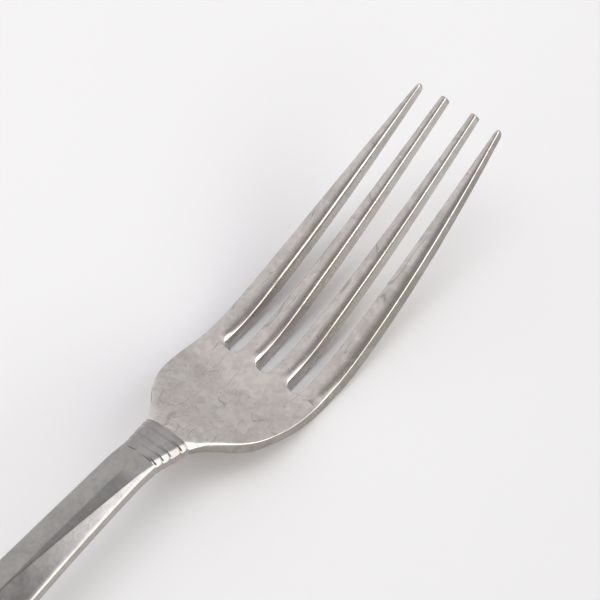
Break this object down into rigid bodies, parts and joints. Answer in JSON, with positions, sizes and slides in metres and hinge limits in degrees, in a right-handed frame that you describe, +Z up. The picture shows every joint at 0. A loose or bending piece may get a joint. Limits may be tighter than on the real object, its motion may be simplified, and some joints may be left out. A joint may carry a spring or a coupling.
{
  "type": "dinner fork",
  "caption": "Polished steel table fork with long tapering tines, a ringed collar at the neck and a faceted hollow handle that widens to a round butt.",
  "frame": {"origin": "on the table under the middle of the length, at the bottom centre of the fork's box as it lies on its back", "axes": "+X along the length from the butt to the tips of the tines, +Z up, out of the concave side of the head"},
  "size_m": [0.204, 0.0252, 0.0221],
  "materials": {
    "polished_steel": "polished stainless steel with fine wiping scratches",
    "collar_steel": "polished stainless steel, duller in the grooves",
    "cement": "set mineral-filled cement, matt"
  },
  "bodies": {
    "root": {"head": "polished_steel", "collar": "collar_steel", "handle_upper_shell": "polished_steel", "handle_lower_shell": "polished_steel", "handle_filler": "cement"}
  },
  "joints": []
}
